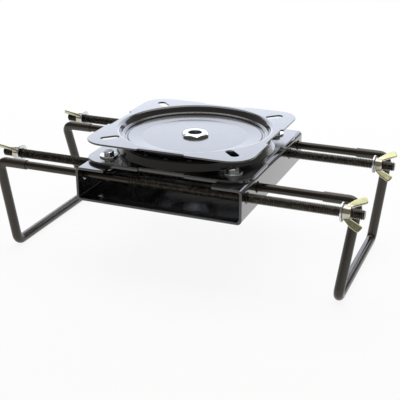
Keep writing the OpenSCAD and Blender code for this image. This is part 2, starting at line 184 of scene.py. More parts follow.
def reckon(tree, operation, *values):
    """Arithmetic on shader values, by the name of a Math node's operation."""
    return node(tree, "Math", dict(enumerate(values)), operation=operation).outputs[0]


def slope(tree, value, low, high):
    """0 at one level of a shader value and 1 at another, even in between."""
    return node(tree, "MapRange", {"Value": value, "From Min": low, "From Max": high}).outputs[0]


def spread(tree, value, low, high):
    """A shader value from 0 to 1, spread over another range."""
    return node(tree, "MapRange", {"Value": value, "To Min": low, "To Max": high}).outputs[0]


def blend(tree, share, first, second):
    """A colour between two others, as far from the first as the share says."""
    mixed = node(tree, "Mix", {"Factor": share, "A": first, "B": second}, data_type="RGBA")
    return mixed.outputs[2]


def noise(tree, size, detail, softness=0.5, place=None):
    """Noise through a piece, with features about as large as a size in millimetres."""
    if place is None:
        place = node(tree, "TexCoord", {}).outputs["Object"]
    scale = reckon(tree, "DIVIDE", 1 / mm, size)
    inputs = {"Vector": place, "Scale": scale, "Detail": detail, "Roughness": softness}
    return node(tree, "TexNoise", inputs).outputs["Fac"]


def effect_group(name, inputs, output):
    """An empty shader effect with number inputs and one output: its tree, entry and exit."""
    tree = bpy.data.node_groups.new(name, "ShaderNodeTree")
    for label, value in inputs.items():
        made = tree.interface.new_socket(label, in_out="INPUT", socket_type="NodeSocketFloat")
        made.default_value = value
    tree.interface.new_socket(output, in_out="OUTPUT", socket_type="NodeSocketFloat")
    entry = tree.nodes.new("NodeGroupInput").outputs
    return tree, entry, tree.nodes.new("NodeGroupOutput").inputs[output]


def effect(tree, group, inputs):
    """Places a shader effect in a material with its own values, and gives its output."""
    made = tree.nodes.new("ShaderNodeGroup")
    made.node_tree = group
    for name, value in inputs.items():
        made.inputs[name].default_value = value
    return made.outputs[0]


def new_finish(name, **shader_values):
    """A material with its Principled shader, whose constant values are set on its own sockets."""
    material = bpy.data.materials.new(name)
    material.use_nodes = True
    shader = material.node_tree.nodes["Principled BSDF"]
    for label, value in shader_values.items():
        shader.inputs[label.replace("_", " ").title().replace("Ior", "IOR")].default_value = value
    return material, material.node_tree, shader.inputs


def wire_up(tree, shader, colour, roughness, height=None, strength=0.0, depth=0.0):
    """Joins a finish's colour, roughness and relief to its shader; depth is in millimetres."""
    tree.links.new(colour, shader["Base Color"])
    tree.links.new(roughness, shader["Roughness"])
    if height is not None:
        bump = node(tree, "Bump", {"Strength": strength, "Distance": depth * mm, "Height": height})
        tree.links.new(bump.outputs["Normal"], shader["Normal"])


ripple_group, given, gives = effect_group(
    "Surface ripple", {"Size mm": 2.0, "Softness": 0.5}, "Height")
ripple = noise(ripple_group, given["Size mm"], 2.0, given["Softness"])
ripple_group.links.new(ripple, gives)

# A mask along edges, in patches. It carries thin paint on the enamel, bare metal on the zinc, and a
# painted highlight on the clamp rods' edges and thread crests.
edge_group, given, gives = effect_group("Rubbed edges and edge highlight", {"Width mm": 0.5, "Patch mm": 4.0}, "Mask")
bare = node(edge_group, "NewGeometry", {}).outputs["Normal"]
reach = reckon(edge_group, "MULTIPLY", given["Width mm"], mm)
softened = node(edge_group, "Bevel", {"Radius": reach}, samples=6).outputs["Normal"]
likeness = node(edge_group, "VectorMath", {0: bare, 1: softened}, operation="DOT_PRODUCT")
on_edge = slope(edge_group, likeness.outputs["Value"], 0.995, 0.86)
patch = slope(edge_group, noise(edge_group, given["Patch mm"], 3.0), 0.35, 0.6)
edge_group.links.new(reckon(edge_group, "MULTIPLY", on_edge, patch), gives)

dust_cloud = 1000 / 35
dust_group, given, gives = effect_group("Settled dust", {"Amount": 0.2, "Speck mm": 0.5}, "Mask")
specks = slope(dust_group, noise(dust_group, given["Speck mm"], 4.0), 0.52, 0.75)
clouds = noise(dust_group, dust_cloud, 2.0)
facing = node(dust_group, "NewGeometry", {}).outputs["Normal"]
upward = slope(dust_group, node(dust_group, "SeparateXYZ", {0: facing}).outputs["Z"], 0.5, 1.0)
film = specks
for share in (clouds, upward, given["Amount"]):
    film = reckon(dust_group, "MULTIPLY", film, share)
dust_group.links.new(film, gives)

enamel_black = (0.010, 0.010, 0.011, 1)
enamel_thin = (0.03, 0.029, 0.028, 1)
dust_grey = (0.30, 0.30, 0.30, 1)
enamel, tree, shader = new_finish("black enamel", ior=1.5, coat_weight=1.0, coat_ior=1.5,
                                  coat_roughness=0.12)
peel = effect(tree, ripple_group, {"Size mm": 3.2, "Softness": 0.45})
haze = effect(tree, ripple_group, {"Size mm": 40.0, "Softness": 0.6})
thin = effect(tree, edge_group, {"Width mm": 0.35, "Patch mm": 6.0})
dust = effect(tree, dust_group, {"Amount": 0.25, "Speck mm": 0.6})
tint = blend(tree, dust, blend(tree, thin, enamel_black, enamel_thin), dust_grey)
wire_up(tree, shader, tint, spread(tree, haze, 0.12, 0.22), peel, strength=0.06, depth=0.4)

flange = channel_corner_x - flange_edge_x - fold_radius
wall = channel_height - 2 * fold_radius
floor = 2 * (channel_corner_x - fold_radius)
fold = (fold_radius - channel_sheet / 2) * math.pi / 2
fold_runs = [(flange, 0), (fold, 90), (wall, 0), (fold, 90), (floor, 0),
             (fold, 90), (wall, 0), (fold, 90), (flange, 0)]
blank_width = sum(length for length, turn in fold_runs)


def folded(along, across, depth):
    """Where a point of the flat blank lands once the sheet is folded."""
    x, z, heading = flange_edge_x, channel_top_z, 0.0
    for length, turn in fold_runs:
        part = min(along, length)
        inward_x, inward_z = -math.sin(heading), -math.cos(heading)
        if turn:
            middle_x, middle_z = x + inward_x * fold_radius, z + inward_z * fold_radius
            heading += math.radians(turn) * part / length
            x = middle_x + math.sin(heading) * fold_radius
            z = middle_z + math.cos(heading) * fold_radius
        else:
            x, z = x + math.cos(heading) * part, z - math.sin(heading) * part
        along -= part
        if along <= 0:
            break
    return Vector((x - math.sin(heading) * depth, across, z - math.cos(heading) * depth))


half_depth = channel_depth / 2
blank_corners = [(0, -half_depth), (blank_width, -half_depth),
                 (blank_width, half_depth), (0, half_depth)]
punched = soft_edge(channel_sheet, punched_edge)
bolt_row = bolt_spot - flange_edge_x
rod_row = flange + fold + channel_top_z - fold_radius - rod_z
hanging_row = flange + 2 * fold + wall + channel_corner_x - fold_radius - hanging_spot[0]
cuts = [(rounded_loop(blank_corners, [blank_corner_r] * 4), soft_edge(channel_sheet, sheared_edge))]
for side in (-1, 1):
    for row in (bolt_row, blank_width - bolt_row):
        cuts.append((round_hole(row, side * bolt_spot, bolt_hole), punched))
    for row in (rod_row, blank_width - rod_row):
        for y in rod_rows:
            cuts.append((round_hole(row, side * y, rod_hole), punched))
for row, side in ((hanging_row, 1), (blank_width - hanging_row, -1)):
    hole = round_hole(row, side * hanging_spot[1], hanging_hole, small_hole_points)
    cuts.append((hole, punched))
channel = flat_blank(cuts)
run_start = 0.0
for length, turn in fold_runs:
    for k in range(fold_steps + 1 if turn else 0):
        everything = channel.verts[:] + channel.edges[:] + channel.faces[:]
        bmesh.ops.bisect_plane(channel, geom=everything, dist=1e-5, plane_no=(1, 0, 0),
                               plane_co=(run_start + length * k / fold_steps, 0, 0))
    run_start += length
for point in channel.verts:
    point.co = folded(point.co.x, point.co.y, -point.co.z)
finished_piece("folded_channel", channel, enamel, "black_enamel", "bracket", "bracket_channel")

# ---- Base swivel plate ----
# Pressed from 1.8 mm steel: a turned-down lip all round, a raised dome with the ball groove inside
# it, a cage shelf, a web and a boss in the middle. Bolted to the channel's flanges, black enamel.
plate_sheet = 1.8
plate_half = 86.0
plate_corner_r = 24.0
recess_depth = 2.7
recess_half = 23.5
recess_mouth_r = 1.85
recess_floor_r = 0.8
slot_length = 19.0
slot_width = 8.5
slot_flat = 0.01
slot_turns = (45, 135, 225, 315)
slot_edge = soft_edge(plate_sheet, 0.35)
pivot_hole_r = 9.58
pivot_hole_edge = 0.3
sharpest_bend = 0.05
join_points = 192
base_z = 107.35
base_rise = 3.5
base_slot_r = 91.0
base_join_r = 81.05
base_press = [(base_join_r, base_rise, 0), (80.6, base_rise, 0.4), (77.4, 12.04, 3.2),
              (75.5, 12.04, 0.7), (73.6, 7.84, 2.85), (69.2, 7.84, 1.6), (68.1, 8.94, 1.6),
              (60.0, 8.94, 3.0), (57.0, 6.44, 2.0), (27.0, 6.44, 3.0), (23.0, 10.45, 3.0),
              (pivot_hole_r, 10.45, 0)]
lip_bend = 1.2
lip_sheet = 1.7
lip_edge = 0.35
lip_inner_edge = 0.1
lip_steps = 5


def plate_outline():
    """A swivel plate's outline: round corners, and a shallow recess in the middle of each side."""
    side = [(-recess_half, -plate_half), (-recess_half, recess_depth - plate_half),
            (recess_half, recess_depth - plate_half), (recess_half, -plate_half),
            (plate_half, -plate_half)]
    corners = [Matrix.Rotation(math.radians(turn), 2) @ Vector(corner)
               for turn in (0, 90, 180, 270) for corner in side]
    radii = [recess_mouth_r, recess_floor_r, recess_floor_r, recess_mouth_r, plate_corner_r] * 4
    return rounded_loop(corners, radii, arc_step=7.5, spacing=6)


def slot_cut(radius, turn):
    """A slot that points at the plate's middle, on one of its diagonals."""
    end, half = slot_length / 2, slot_width / 2
    corners = [(radius - end, -half), (radius + end, -half),
               (radius + end, half), (radius - end, half)]
    corners = [Matrix.Rotation(math.radians(turn), 2) @ Vector(corner) for corner in corners]
    return rounded_loop(corners, [half - slot_flat] * 4, hole=True, arc_step=9)


def pressed_line(press, shift, arc_step=12):
    """The line of a pressed sheet's face, shifted into the sheet, from the radius, height and
    bend at each of its corners."""
    corners = [Vector((radius, z)) for radius, z, bend in press]
    runs = [(there - here).normalized() for here, there in zip(corners, corners[1:])]
    line = []
    for i, corner in enumerate(corners):
        bend = press[i][2]
        run_in, run_out = runs[max(i - 1, 0)], runs[min(i, len(runs) - 1)]
        turn = flat_turn(run_in, run_out)
        lefts = [Vector((-run.y, run.x)) for run in (run_in, run_out)]
        corner = corner + (lefts[0] + lefts[1]) * shift / (1 + lefts[0].dot(lefts[1]))
        if not bend:
            line.append(tuple(corner))
            continue
        side = math.copysign(1, turn)
        radius = max(bend - side * shift, sharpest_bend)
        middle = corner - run_in * radius * math.tan(abs(turn) / 2) + lefts[0] * radius * side
        steps = max(2, round(math.degrees(abs(turn)) / arc_step))
        for k in range(steps + 1):
            heading = math.atan2(run_in.y, run_in.x) + turn * k / steps
            point = middle - Vector((-math.sin(heading), math.cos(heading))) * radius * side
            line.append(tuple(point))
    return line


def pressed_middle(top, press, punch=None):
    """A plate's pressed middle, as the way the hole that it joins is edged: in along the top
    face, over the pivot hole's rim and back along the underside, which may have its own form."""
    over, under = pressed_line(press, 0), pressed_line(punch or press, plate_sheet)
    hole_r, rim_z = over[-1]
    rim = [(hole_r + inset, rim_z - depth)
           for inset, depth in soft_edge(plate_sheet, pivot_hole_edge)]
    return [(radius - press[0][0], top - z) for radius, z in over[:-1] + rim + under[-2::-1]]


def swivel_plate(z, rim, middle, join_r, slot_r):
    """A swivel plate at its height, with its rim's edge, its pressed middle and its four slots."""
    cuts = [(plate_outline(), rim), (round_hole(0, 0, 2 * join_r, join_points), middle)]
    cuts += [(slot_cut(slot_r, turn), slot_edge) for turn in slot_turns]
    plate = flat_blank(cuts)
    bmesh.ops.translate(plate, vec=(0, 0, z), verts=plate.verts)
    return plate


turned_lip = [(lip_bend * (1 - math.sin(a)), lip_bend * (1 - math.cos(a)))
              for a in (math.radians(90 * k / lip_steps) for k in range(lip_steps + 1))]
lip_roll = soft_edge(0, lip_edge)[edge_steps::-1]
turned_lip += [(inset, base_rise - depth) for inset, depth in lip_roll]
turned_lip += [(lip_sheet - lip_edge, base_rise),
               (lip_sheet - lip_inner_edge, base_rise - lip_inner_edge),
               (lip_sheet, base_rise - lip_edge), (lip_sheet, plate_sheet)]
base_plate = swivel_plate(base_z + base_rise, turned_lip, pressed_middle(base_rise, base_press),
                          base_join_r, base_slot_r)
finished_piece("base_plate", base_plate, enamel, "black_enamel", "bracket", "base_swivel_plate")

# ---- Ball race ----
# Twenty 5.5 mm hardened steel balls, a flat nylon cage that keeps them apart, and a nylon washer
# between the plates at the middle. Greased and closed in when the pivot is fitted.
shaded_ball_steel, tree, shader = new_finish("hardened steel", metallic=1.0)
smear = effect(tree, ripple_group, {"Size mm": 1.5, "Softness": 0.6})
# The balls' colour is darkened nearly to black: painted shade for the dark gap between the plates.
tint = blend(tree, smear, (0.06, 0.055, 0.05, 1), (0.14, 0.13, 0.12, 1))
wire_up(tree, shader, tint, spread(tree, smear, 0.25, 0.42))

nylon, tree, shader = new_finish("moulded nylon", subsurface_weight=0.15, ior=1.53)
grain = effect(tree, ripple_group, {"Size mm": 0.8, "Softness": 0.7})
# The nylon is darkened nearly to black: painted shade for the dark gap between the plates, where
# the cage shows.
tint = blend(tree, grain, (0.07, 0.06, 0.045, 1), (0.12, 0.11, 0.085, 1))
wire_up(tree, shader, tint, spread(tree, grain, 0.35, 0.55), grain, strength=0.15, depth=0.2)

race = {"bearing_balls": shaded_ball_steel, "ball_cage": nylon, "thrust_washer": nylon}
for cad_node, finish in race.items():
    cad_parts[cad_node].material_slots[0].material = finish

# ---- Seat swivel plate ----
# The turning plate, pressed from the same sheet: four ears with a slot each for the seat's bolts,
# and a dish with a bead line round its floor. Its smoother underside runs on the balls.
seat_z = 129.85
seat_slot_r = 89.8
seat_join_r = 79.2
seat_rim_edge = 0.5
seat_press = [(seat_join_r, 0, 0), (76.8, 0, 3.6), (73.6, -6.7, 1.6), (70.7, -6.5, 0.7),
              (69.8, -8.8, 0.5), (68.7, -8.8, 0.5), (67.4, -7.9, 1.2), (53.5, -8.8, 5.0),
              (pivot_hole_r, -8.7, 0)]
seat_punch = [(seat_join_r, 0, 0), (76.8, 0, 4.0), (72.8, -7.3, 2.6), (69.4, -7.3, 2.0),
              (67.9, -8.8, 1.2), (56.4, -8.7, 8.0), (pivot_hole_r, -8.7, 0)]
seat_plate = swivel_plate(seat_z, soft_edge(plate_sheet, seat_rim_edge),
                          pressed_middle(0, seat_press, seat_punch), seat_join_r, seat_slot_r)
finished_piece("seat_plate", seat_plate, enamel, "black_enamel", "seat_plate", "seat_swivel_plate")

# ---- Centre pivot ----
# A hollow steel pivot with a thin 1 inch hexagon on top, drawn tight by a thin nut under the base
# plate. Turned from hexagon bar and zinc plated, with a bluish passivate.
pivot_flats = 25.4
pivot_bore = 14.0
pivot_shank = 19.0
pivot_head_z = 121.2
pivot_head = 3.0
pivot_end_z = 109.5
pivot_nut_z = 111.0
pivot_nut = 5.0
hexagon_corner = 0.035
hexagon_face = 0.475
hexagon_chamfer = 30
hexagon_edge = 0.15
bore_mouth = 0.6
bore_roll = (0.2, 0.15)
bore_end = 0.5
shank_end = 0.7
lock_nut_mouth = 0.7
thread_clearance = 0.05


def hexagon_ring(mesh, flats, z_at, shrink=0.0, limit=None):
    """One ring of a hexagon with slightly rounded corners; limit keeps it inside a circle."""
    size = flats / math.sqrt(3)
    corners = [(size * math.cos(math.radians(a)), size * math.sin(math.radians(a)))
               for a in range(0, 360, 60)]
    radii = [flats * hexagon_corner] * 6
    ring = []
    for x, y, ix, iy in rounded_loop(corners, radii, spacing=flats / 16, arc_step=20):
        point = Vector((x + ix * shrink, y + iy * shrink))
        radius = point.length
        if limit:
            point *= min(1, limit / radius)
        ring.append(mesh.verts.new((point.x, point.y, z_at(radius))))
    return ring


def hexagon_rings(mesh, flats, low, high, under_chamfer=False):
    """A hexagon's outside from its underside to its top, with turned-down corners."""
    flat_r = flats * hexagon_face
    fall = math.tan(math.radians(hexagon_chamfer))
    edge = hexagon_edge
    if under_chamfer:
        rings = [hexagon_ring(mesh, flats, lambda r: low, limit=flat_r),
                 hexagon_ring(mesh, flats, lambda r: low + (r - flat_r) * fall)]
    else:
        rings = [hexagon_ring(mesh, flats, lambda r: low, shrink=edge),
                 hexagon_ring(mesh, flats, lambda r: low + edge)]
    return rings + [hexagon_ring(mesh, flats, lambda r: high - (r - flat_r) * fall - edge),
                    hexagon_ring(mesh, flats, lambda r: high - (r - flat_r) * fall, shrink=edge),
                    hexagon_ring(mesh, flats, lambda r: high, limit=flat_r)]


def circle_ring(mesh, like, radius, z):
    """A round ring with as many points as another ring, at the same angles."""
    ring = []
    for point in like:
        flat = Vector((point.co.x, point.co.y)).normalized() * radius
        ring.append(mesh.verts.new((flat.x, flat.y, z)))
    return ring


def bored_hexagon(flats, low, high, profile, under_chamfer):
    """A hexagon with a turned middle, whose profile gives radii and heights from the top down."""
    mesh = bmesh.new()
    outside = hexagon_rings(mesh, flats, low, high, under_chamfer)
    inside = [circle_ring(mesh, outside[0], radius, z) for radius, z in profile]
    skin(mesh, outside + inside, closed=True)
    return mesh


def nut(flats, low, height, bore_r, mouth):
    """A plain hexagon nut, its bore opened out at both ends."""
    high = low + height
    profile = [(bore_r + mouth, high), (bore_r, high - mouth), (bore_r, low + mouth),
               (bore_r + mouth, low)]
    return bored_hexagon(flats, low, high, profile, under_chamfer=True)


mark_group, given, gives = effect_group("Handling marks", {"Length mm": 6.0, "Amount": 0.5}, "Mask")
place = node(mark_group, "TexCoord", {}).outputs["Object"]
drawn_out = {"Vector": place, "Rotation": (0.4, 0.9, 0.3), "Scale": (1.0, 9.0, 9.0)}
place = node(mark_group, "Mapping", drawn_out).outputs[0]
marks = slope(mark_group, noise(mark_group, given["Length mm"], 3.0, place=place), 0.56, 0.7)
mark_group.links.new(reckon(mark_group, "MULTIPLY", marks, given["Amount"]), gives)

zinc, tree, shader = new_finish("bright zinc", metallic=1.0)
bloom = effect(tree, ripple_group, {"Size mm": 5.0, "Softness": 0.6})
marks = effect(tree, mark_group, {"Length mm": 7.0, "Amount": 0.5})
edges = effect(tree, edge_group, {"Width mm": 0.35, "Patch mm": 2.0})
tint = blend(tree, bloom, (0.60, 0.64, 0.70, 1), (0.78, 0.77, 0.74, 1))
tint = blend(tree, edges, tint, (0.88, 0.88, 0.88, 1))
gloss = reckon(tree, "MULTIPLY_ADD", marks, 0.2, spread(tree, bloom, 0.12, 0.26))
wire_up(tree, shader, tint, gloss, marks, strength=0.12, depth=0.2)

bore_r, shank_r = pivot_bore / 2, pivot_shank / 2
pivot_top_z = pivot_head_z + pivot_head
turned = [(bore_r + bore_mouth, pivot_top_z),
          (bore_r + bore_roll[0], pivot_top_z - bore_roll[1]),
          (bore_r, pivot_top_z - bore_mouth), (bore_r, pivot_end_z + bore_end),
          (bore_r + bore_end, pivot_end_z), (shank_r - shank_end, pivot_end_z),
          (shank_r, pivot_end_z + shank_end), (shank_r, pivot_head_z)]
pivot = bored_hexagon(pivot_flats, pivot_head_z, pivot_top_z, turned, under_chamfer=False)
finished_piece("hollow_pivot", pivot, zinc, "zinc_plate", "seat_plate", "pivot_bolt", sharp=25)
lock_nut = nut(pivot_flats, pivot_nut_z, pivot_nut, shank_r + thread_clearance, lock_nut_mouth)
finished_piece("pivot_lock_nut", lock_nut, zinc, "zinc_plate", "seat_plate", "pivot_nut", sharp=25)

# ---- Mounting bolts ----
# Four 6 mm hexagon bolts hold the base plate to the channel's flanges, each with a large washer
# on top, and a washer and a nut underneath. All of them zinc plated steel.
bolt_d = 6.0
bolt_flats = 10.0
bolt_head = 4.0
bolt_head_z = 112.45
bolt_end_z = 96.25
nut_z = 98.25
nut_height = 5.0
top_washer_z = 110.85
under_washer_z = 103.25
top_washer_d = 18.0
under_washer_d = 16.0
washer_sheet = 1.6
washer_roll = (0.55, 0.45)
washer_mouth = 0.2
washer_burr = 0.12
washer_sides = 56
bolt_chamfer = 0.55
nut_mouth = 0.5
bolt_pitch = 1.0
thread_depth = 0.61
thread_sides = 32
thread_gap = 0.01
weld = 0.0005
spots = [(sx * bolt_spot, sy * bolt_spot) for sx in (-1, 1) for sy in (-1, 1)]
bolt_turns = (8, 41, 17, 52)
nut_turn = 23


def threaded_run(mesh, low, high, pitch, sides, crest_at, root_at):
    """A right-hand thread round the z axis. Its rows climb one pitch a turn, and crest_at and
    root_at give the radius of its crests and roots along the run."""
    form = [(0.0, crest_at), (0.13, crest_at), (0.44, root_at), (0.69, root_at)]
    turns = math.ceil((high - low) / pitch) + 3
    rows = []
    for i in range(turns * len(form)):
        share, radius_at = form[i % len(form)]
        row = []
        for j in range(sides):
            z = low + pitch * (i // len(form) - 1.5 + share + j / sides)
            z = min(max(z, low), high)
            angle = 2 * math.pi * j / sides
            radius = radius_at(z)
            row.append(mesh.verts.new((radius * math.cos(angle), radius * math.sin(angle), z)))
        rows.append(row)
    for i in range(len(rows) - len(form) - 1):
        for j in range(sides):
            after = (i + len(form), 0) if j == sides - 1 else (i, j + 1)
            near, far = rows[after[0]][after[1]], rows[after[0] + 1][after[1]]
            mesh.faces.new((rows[i][j], near, far, rows[i + 1][j]))


def lathed(mesh, profile, sides):
    """Turns a closed profile of radii and heights round the z axis."""
    circle = [(math.cos(2 * math.pi * k / sides), math.sin(2 * math.pi * k / sides))
              for k in range(sides)]
    rings = [[mesh.verts.new((radius * x, radius * y, z)) for x, y in circle]
             for radius, z in profile]
    skin(mesh, rings, closed=True)


def flat_washer(outer_d, inner_d, low):
    """A stamped washer on the z axis, its outer top edge rolled over a little."""
    outer, inner, high = outer_d / 2, inner_d / 2, low + washer_sheet
    mesh = bmesh.new()
    profile = [(inner + washer_mouth, high), (outer - washer_roll[0], high),
               (outer - washer_mouth, high - washer_burr), (outer, high - washer_roll[1]),
               (outer, low + washer_burr), (outer - washer_burr, low),
               (inner + washer_burr, low), (inner, low + washer_burr), (inner, high - washer_mouth)]
    lathed(mesh, profile, washer_sides)
    return mesh


def cap(mesh, ring, z):
    """Closes a ring round the z axis with a fan of faces."""
    middle = mesh.verts.new((0, 0, z))
    for i in range(len(ring)):
        mesh.faces.new((ring[i - 1], ring[i], middle))


def repeated(one, places):
    """The same small part set down at several places, as one mesh."""
    pattern = bpy.data.meshes.new("pattern")
    one.to_mesh(pattern)
    one.free()
    mesh = bmesh.new()
    for where in places:
        before = len(mesh.verts)
        mesh.from_mesh(pattern)
        mesh.verts.ensure_lookup_table()
        bmesh.ops.transform(mesh, matrix=where, verts=mesh.verts[before:])
    bpy.data.meshes.remove(pattern)
    return mesh


def turned_spots(turn_shift):
    """The places of the four bolts, each with its own turn about its axis."""
    return [Matrix.Translation((x, y, 0)) @ Matrix.Rotation(math.radians(turn + turn_shift), 4, "Z")
            for (x, y), turn in zip(spots, bolt_turns)]


bolt_r = bolt_d / 2
bolt = bmesh.new()
head = hexagon_rings(bolt, bolt_flats, bolt_head_z, bolt_head_z + bolt_head)
cap(bolt, head[-1], bolt_head_z + bolt_head)
collar = circle_ring(bolt, head[0], bolt_r - thread_clearance, bolt_head_z)
skin(bolt, [collar] + head)
cap(bolt, collar, bolt_head_z)
threaded_run(bolt, bolt_end_z, bolt_head_z - thread_gap, bolt_pitch, thread_sides,
             lambda z: min(bolt_r, bolt_r - bolt_chamfer + z - bolt_end_z),
             lambda z: bolt_r - thread_depth)
bmesh.ops.remove_doubles(bolt, verts=bolt.verts, dist=weld)
bmesh.ops.holes_fill(bolt, edges=[edge for edge in bolt.edges if edge.is_boundary])
bmesh.ops.recalc_face_normals(bolt, faces=bolt.faces)
bolts = repeated(bolt, turned_spots(0))
finished_piece("hexagon_bolts", bolts, zinc, "zinc_plate", "bracket", "mounting_bolts", sharp=25)

bolt_nut = nut(bolt_flats, nut_z, nut_height, bolt_r + thread_clearance, nut_mouth)
nuts = repeated(bolt_nut, turned_spots(nut_turn))
finished_piece("hexagon_nuts", nuts, zinc, "zinc_plate", "bracket", "mounting_nuts", sharp=25)

level_spots = [Matrix.Translation((x, y, 0)) for x, y in spots]
washers = repeated(flat_washer(top_washer_d, bolt_hole, top_washer_z), level_spots)
finished_piece("large_washers", washers, zinc, "zinc_plate", "bracket", "mounting_washers")
washers = repeated(flat_washer(under_washer_d, bolt_hole, under_washer_z), level_spots)
finished_piece("flange_washers", washers, zinc, "zinc_plate", "bracket", "under_washers")

# ---- Clamp rods ----
# Two steel rods, each with 230 mm of rolled 16 per inch thread on both arms, bent down over the
# bench's edge and joined by a crossbar. Blackened and oiled. Their edges and thread crests are
# painted light brown, as a painted highlight.
rod_r = 4.15
thread_r = 4.7
thread_root_r = 3.73
rod_pitch = 1.5875
thread_start_x = -36.0
rod_tip_x = 194.0
tip_step = 0.03
run_out = 3.0
leg_top_x = -181.5
leg_foot_x = -172.43
crossbar_half = 73.5
crossbar_z = 4.95
rod_bend_r = 8.0
rod_sides = 24
front_row, rear_row = -rod_rows[1], rod_rows[0]
clamps = {"left": 0, "right": 180}

rod_black, tree, shader = new_finish("oiled black steel", ior=1.52,
                                     specular_tint=(1.0, 0.91, 0.76, 1))
cloud = effect(tree, ripple_group, {"Size mm": 9.0, "Softness": 0.6})
marks = effect(tree, mark_group, {"Length mm": 12.0, "Amount": 0.6})
edges = effect(tree, edge_group, {"Width mm": 0.25, "Patch mm": 3.0})
tint = blend(tree, cloud, (0.006, 0.005, 0.004, 1), (0.013, 0.011, 0.008, 1))
# The rods' edges and thread crests are painted light brown: a painted highlight for the glints
# along the thread.
tint = blend(tree, edges, tint, (0.36, 0.33, 0.27, 1))
gloss = reckon(tree, "MULTIPLY_ADD", marks, 0.15, spread(tree, cloud, 0.10, 0.20))
wire_up(tree, shader, tint, gloss, marks, strength=0.1, depth=0.2)


def bent_line(corners, radius, step=9):
    """The centre line of a bent rod, as points and the direction at each."""
    corners = [Vector(corner) for corner in corners]
    line = [(corners[0], (corners[1] - corners[0]).normalized())]
    for before, corner, after in zip(corners, corners[1:], corners[2:]):
        run_in, run_out = (corner - before).normalized(), (after - corner).normalized()
        turn = run_in.angle(run_out)
        axis = run_in.cross(run_out).normalized()
        start = corner - run_in * radius * math.tan(turn / 2)
        middle = start + axis.cross(run_in) * radius
        steps = round(math.degrees(turn) / step)
        for k in range(steps + 1):
            spin = Matrix.Rotation(turn * k / steps, 3, axis)
            line.append((middle + spin @ (start - middle), spin @ run_in))
    line.append((corners[-1], (corners[-1] - corners[-2]).normalized()))
    return line


def swept_frames(line):
    """Carries the cross-section's two sides along a centre line without twisting them."""
    heading = line[0][1]
    side, up = Vector((0, 1, 0)), Vector((0, 0, 1))
    frames = []
    for point, direction in line:
        spin = heading.rotation_difference(direction).to_matrix()
        side, up, heading = spin @ side, spin @ up, direction
        frames.append((point, side, up, direction))
    return frames


def tube_ring(mesh, station, radius, shift=0.0):
    """One round ring across a swept line, shifted along it where asked."""
    point, side, up, direction = station
    middle = point + direction * shift
    angles = [2 * math.pi * k / rod_sides for k in range(rod_sides)]
    return [mesh.verts.new(middle + radius * (side * math.cos(a) + up * math.sin(a)))
            for a in angles]


def clamp_stations(arm_x):
    """Stations along a clamp's bent rod between its two arms, seen from the left clamp."""
    corners = [(arm_x, front_row, rod_z), (leg_top_x, front_row, rod_z),
               (leg_foot_x, -crossbar_half, crossbar_z), (leg_foot_x, crossbar_half, crossbar_z),
               (leg_top_x, rear_row, rod_z), (arm_x, rear_row, rod_z)]
    return swept_frames(bent_line(corners, rod_bend_r))


def thread_blend(x):
    """How far the rolled thread has come up out of the plain rod, from 0 to 1."""
    return min(1, (x - thread_start_x) / run_out)


def tip_r(x):
    """Radius of the chamfer on a rod's tip."""
    return thread_root_r - tip_step + (rod_tip_x - x)


def crest_at(x):
    """Radius of a rod's thread crests."""
    return min(rod_r + (thread_r - rod_r) * thread_blend(x), tip_r(x))


def root_at(x):
    """Radius of a rod's thread roots."""
    return min(rod_r - (rod_r - thread_root_r) * thread_blend(x), tip_r(x))


arm = bmesh.new()
threaded_run(arm, thread_start_x, rod_tip_x, rod_pitch, rod_sides, crest_at, root_at)
bmesh.ops.remove_doubles(arm, verts=arm.verts, dist=weld)
lay_down = Matrix(((0, 0, 1, 0), (1, 0, 0, 0), (0, 1, 0, 0), (0, 0, 0, 1)))
arms = [Matrix.Translation((0, y, rod_z)) @ lay_down for y in (front_row, rear_row)]
rod = repeated(arm, arms)
skin(rod, [tube_ring(rod, station, rod_r) for station in clamp_stations(thread_start_x)])
bmesh.ops.remove_doubles(rod, verts=rod.verts, dist=4 * weld)
bmesh.ops.holes_fill(rod, edges=[edge for edge in rod.edges if edge.is_boundary])
rod_pattern = bpy.data.meshes.new("rod pattern")
rod.to_mesh(rod_pattern)
rod.free()
for side, turn in clamps.items():
    rod = bmesh.new()
    rod.from_mesh(rod_pattern)
    bmesh.ops.rotate(rod, matrix=Matrix.Rotation(math.radians(turn), 3, "Z"), verts=rod.verts)
    finished_piece(side + "_bent_rod", rod, rod_black, "black_rod", side + "_clamp",
                   side + "_clamp_rod", sharp=35)

# ---- Vinyl sleeves ----
# A black vinyl tube is shrunk over each clamp's crossbar, legs and bends, so that the rod doesn't
# mark the bench. Its cut ends stop a little way along the arms.
sleeve_end_x = -149.0
sleeve_r = 4.95
sleeve_bore_r = 4.17

vinyl, tree, shader = new_finish("shrunk vinyl", ior=1.5, specular_tint=(1.0, 0.92, 0.80, 1),
                                 coat_weight=0.25, coat_ior=1.5, coat_roughness=0.12)
grain = effect(tree, ripple_group, {"Size mm": 0.7, "Softness": 0.6})
wave = effect(tree, ripple_group, {"Size mm": 14.0, "Softness": 0.5})
dust = effect(tree, dust_group, {"Amount": 0.3, "Speck mm": 0.4})
tint = blend(tree, wave, (0.013, 0.011, 0.008, 1), (0.025, 0.021, 0.016, 1))
tint = blend(tree, dust, tint, dust_grey)
height = reckon(tree, "MULTIPLY_ADD", wave, 3.0, grain)
wire_up(tree, shader, tint, spread(tree, wave, 0.18, 0.32), height, strength=0.15, depth=0.2)

